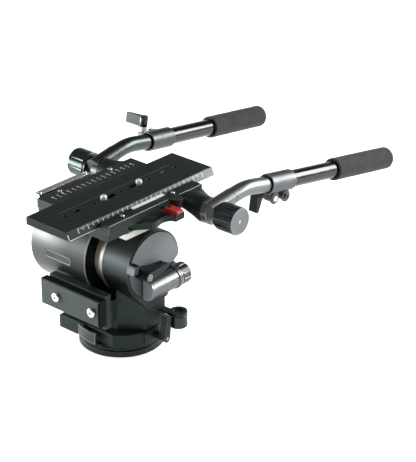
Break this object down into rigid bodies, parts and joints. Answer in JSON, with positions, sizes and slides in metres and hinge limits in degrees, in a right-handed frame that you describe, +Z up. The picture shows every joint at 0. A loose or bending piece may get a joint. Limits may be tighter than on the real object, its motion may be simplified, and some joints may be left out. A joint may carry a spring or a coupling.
{
  "type": "fluid video head",
  "caption": "Two-drum fluid tripod head with a sliding camera plate, pan and tilt locks, drag knobs and two telescoping pan handles with foam grips.",
  "frame": {"origin": "centre of the base disc's underside, on the pan axis", "axes": "+Z up along the pan axis, +X along the tilt axis towards the drag end, +Y towards the operator's handles"},
  "size_m": [0.343, 0.6277, 0.263],
  "materials": {
    "satin_black": "satin",
    "plate_black": "satin",
    "box_grey": "matte",
    "drum_grey": "satin",
    "end_grey": "satin",
    "raw_metal": "brushed",
    "hub_beige": "brushed",
    "steel": "bright",
    "tube_grey": "satin",
    "tube_gloss": "gloss",
    "foam": "matte foam",
    "knob_black": "satin",
    "red_tab": "gloss",
    "white_strip": "gloss"
  },
  "bodies": {
    "base": {"base_disc": "satin_black", "base_ring": "satin_black", "pan_spindle": "steel"},
    "pan_body": {"pan_bearings": "steel", "ring_housing": "satin_black", "ring_trim_pad": "box_grey", "main_casting": "satin_black", "front_box": "box_grey", "front_bolts": "steel", "spring_drum": "drum_grey", "spring_drum_cap": "drum_grey", "spring_packs": "steel", "tilt_bearings": "steel", "drag_end_cap": "end_grey", "drag_end_sector": "satin_black", "drag_cover": "satin_black", "drag_stators": "steel", "tilt_drag_barrel": "drum_grey", "pan_knob_bracket": "satin_black"},
    "tilt_body": {"tilt_shaft": "steel", "tilt_yoke": "satin_black", "tilt_ring": "hub_beige", "drag_rotors": "steel", "tilt_platform": "satin_black", "platform_block": "raw_metal", "near_rail": "satin_black", "far_rail": "satin_black", "side_bar": "raw_metal", "rail_screws": "steel", "level_strip": "white_strip", "tab_bracket": "satin_black", "rosette_bosses": "satin_black", "rosette_studs": "steel"},
    "plate": {"camera_plate": "plate_black"},
    "front_screw": {"front_camera_screw": "steel"},
    "rear_screw": {"rear_camera_screw": "steel"},
    "plate_lock": {"plate_lock_lever": "knob_black"},
    "tab": {"safety_tab": "red_tab"},
    "tilt_lock": {"tilt_lock_lever": "knob_black"},
    "pan_lock": {"pan_lock_lever": "knob_black"},
    "tilt_drag": {"tilt_drag_knob": "knob_black"},
    "pan_drag": {"pan_drag_knob": "knob_black"},
    "near_handle": {"t_joint_near": "tube_grey", "bent_tube_near": "tube_grey"},
    "near_grip_tube": {"tube_collar_near": "tube_grey", "ear_screws_near": "steel", "outer_tube_near": "tube_gloss", "grip_near": "foam"},
    "near_knob": {"clamp_knob_near": "knob_black", "knob_disc_near": "end_grey"},
    "near_wing": {"clamp_lever_near": "knob_black"},
    "far_handle": {"t_joint_far": "tube_grey", "bent_tube_far": "tube_grey"},
    "far_grip_tube": {"tube_collar_far": "tube_grey", "ear_screws_far": "steel", "outer_tube_far": "tube_gloss", "grip_far": "foam"},
    "far_knob": {"clamp_knob_far": "knob_black", "knob_disc_far": "end_grey"},
    "far_wing": {"clamp_lever_far": "knob_black"}
  },
  "joints": [
    {"name": "pan", "type": "hinge", "parent": "base", "child": "pan_body", "pos_m": [0, 0, 0], "axis": [0, 0, 1], "continuous": true},
    {"name": "tilt", "type": "hinge", "parent": "pan_body", "child": "tilt_body", "pos_m": [0, 0, 0.144], "axis": [1, 0, 0], "range_deg": [-60, 55]},
    {"name": "plate_slide", "type": "slide", "parent": "tilt_body", "child": "plate", "axis": [0, 1, 0], "range_m": [-0.05, 0.05]},
    {"name": "front_screw_slide", "type": "slide", "parent": "plate", "child": "front_screw", "axis": [0, 1, 0], "range_m": [0, 0.0176]},
    {"name": "rear_screw_slide", "type": "slide", "parent": "plate", "child": "rear_screw", "axis": [0, 1, 0], "range_m": [-0.0176, 0]},
    {"name": "plate_lock_turn", "type": "hinge", "parent": "tilt_body", "child": "plate_lock", "pos_m": [0.0635, -0.042, 0.222], "axis": [0, 0, 1], "range_deg": [-50, 0]},
    {"name": "tab_lift", "type": "hinge", "parent": "tilt_body", "child": "tab", "pos_m": [0.082, 0.016, 0.2326], "axis": [0, -1, 0], "range_deg": [0, 80]},
    {"name": "tilt_lock_turn", "type": "hinge", "parent": "pan_body", "child": "tilt_lock", "pos_m": [0.07, -0.026, 0.1395], "axis": [1, 0, 0], "range_deg": [0, 60]},
    {"name": "pan_lock_turn", "type": "hinge", "parent": "pan_body", "child": "pan_lock", "pos_m": [0.07, 0.0045, 0.0275], "axis": [1, 0, 0], "range_deg": [0, 60]},
    {"name": "tilt_drag_turn", "type": "hinge", "parent": "pan_body", "child": "tilt_drag", "pos_m": [0.0755, 0.06, 0.115], "axis": [0, 1, 0], "continuous": true},
    {"name": "pan_drag_turn", "type": "hinge", "parent": "pan_body", "child": "pan_drag", "pos_m": [0.088, 0.0315, 0.05], "axis": [0, 0, 1], "continuous": true},
    {"name": "near_handle_swing", "type": "hinge", "parent": "tilt_body", "child": "near_handle", "pos_m": [0.124, 0.072, 0.222], "axis": [1, 0, 0], "range_deg": [-35, 80]},
    {"name": "near_handle_reach", "type": "slide", "parent": "near_handle", "child": "near_grip_tube", "axis": [0.0362, 0.9865, -0.1599], "range_m": [-0.028, 0.06]},
    {"name": "near_knob_turn", "type": "hinge", "parent": "tilt_body", "child": "near_knob", "pos_m": [0.154, 0.072, 0.222], "axis": [1, 0, 0], "continuous": true},
    {"name": "near_wing_turn", "type": "hinge", "parent": "near_grip_tube", "child": "near_wing", "pos_m": [0.12843, 0.19283, 0.20676], "axis": [0.9993, -0.0366, 0], "range_deg": [-50, 50]},
    {"name": "far_handle_swing", "type": "hinge", "parent": "tilt_body", "child": "far_handle", "pos_m": [-0.112, 0.072, 0.222], "axis": [1, 0, 0], "range_deg": [-35, 80]},
    {"name": "far_handle_reach", "type": "slide", "parent": "far_handle", "child": "far_grip_tube", "axis": [-0.0362, 0.9865, -0.1599], "range_m": [-0.028, 0.06]},
    {"name": "far_knob_turn", "type": "hinge", "parent": "tilt_body", "child": "far_knob", "pos_m": [-0.142, 0.072, 0.222], "axis": [1, 0, 0], "continuous": true},
    {"name": "far_wing_turn", "type": "hinge", "parent": "far_grip_tube", "child": "far_wing", "pos_m": [-0.13855, 0.19554, 0.22848], "axis": [0.0059, -0.1598, -0.9871], "range_deg": [-50, 50]}
  ]
}
